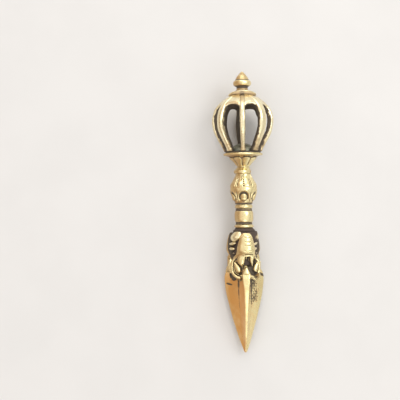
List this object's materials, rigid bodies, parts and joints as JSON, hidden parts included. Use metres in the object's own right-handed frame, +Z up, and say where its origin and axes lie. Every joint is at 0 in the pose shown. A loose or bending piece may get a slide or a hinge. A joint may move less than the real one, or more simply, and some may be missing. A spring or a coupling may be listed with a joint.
{
  "type": "phurba",
  "caption": "Small cast-brass ritual dagger with a three-edged blade, makara heads, a ringed grip, a lotus cup and an open ribbed cage under a bud finial.",
  "frame": {"origin": "middle of the dagger's footprint, on the surface that it lies on", "axes": "+Y from the blade's tip towards the finial, +Z up, with one edge of the blade on top"},
  "size_m": [0.0218, 0.0994, 0.0218],
  "materials": {
    "blade_brass": "satin, rubbed bright on the edges, tan on the flats",
    "handled_brass": "satin, polished by handling, dark in the grooves",
    "recess_brass": "dull, darkened with age, bright only on its high places"
  },
  "bodies": {
    "root": {"blade": "blade_brass", "knot_core": "recess_brass", "makara_head_1": "handled_brass", "makara_head_2": "handled_brass", "makara_head_3": "handled_brass", "collar": "recess_brass", "lower_ring": "handled_brass", "barrel": "handled_brass", "upper_ring": "handled_brass", "vase": "handled_brass", "neck_ring": "handled_brass", "lotus_cup": "handled_brass", "seed_boss": "recess_brass", "cage_rib_1": "handled_brass", "cage_rib_2": "handled_brass", "cage_rib_3": "handled_brass", "cage_rib_4": "handled_brass", "cage_rib_5": "handled_brass", "cage_rib_6": "handled_brass", "cage_rib_7": "handled_brass", "cage_rib_8": "handled_brass", "crown_dome": "handled_brass", "cap_disc": "handled_brass", "finial": "handled_brass"}
  },
  "joints": []
}
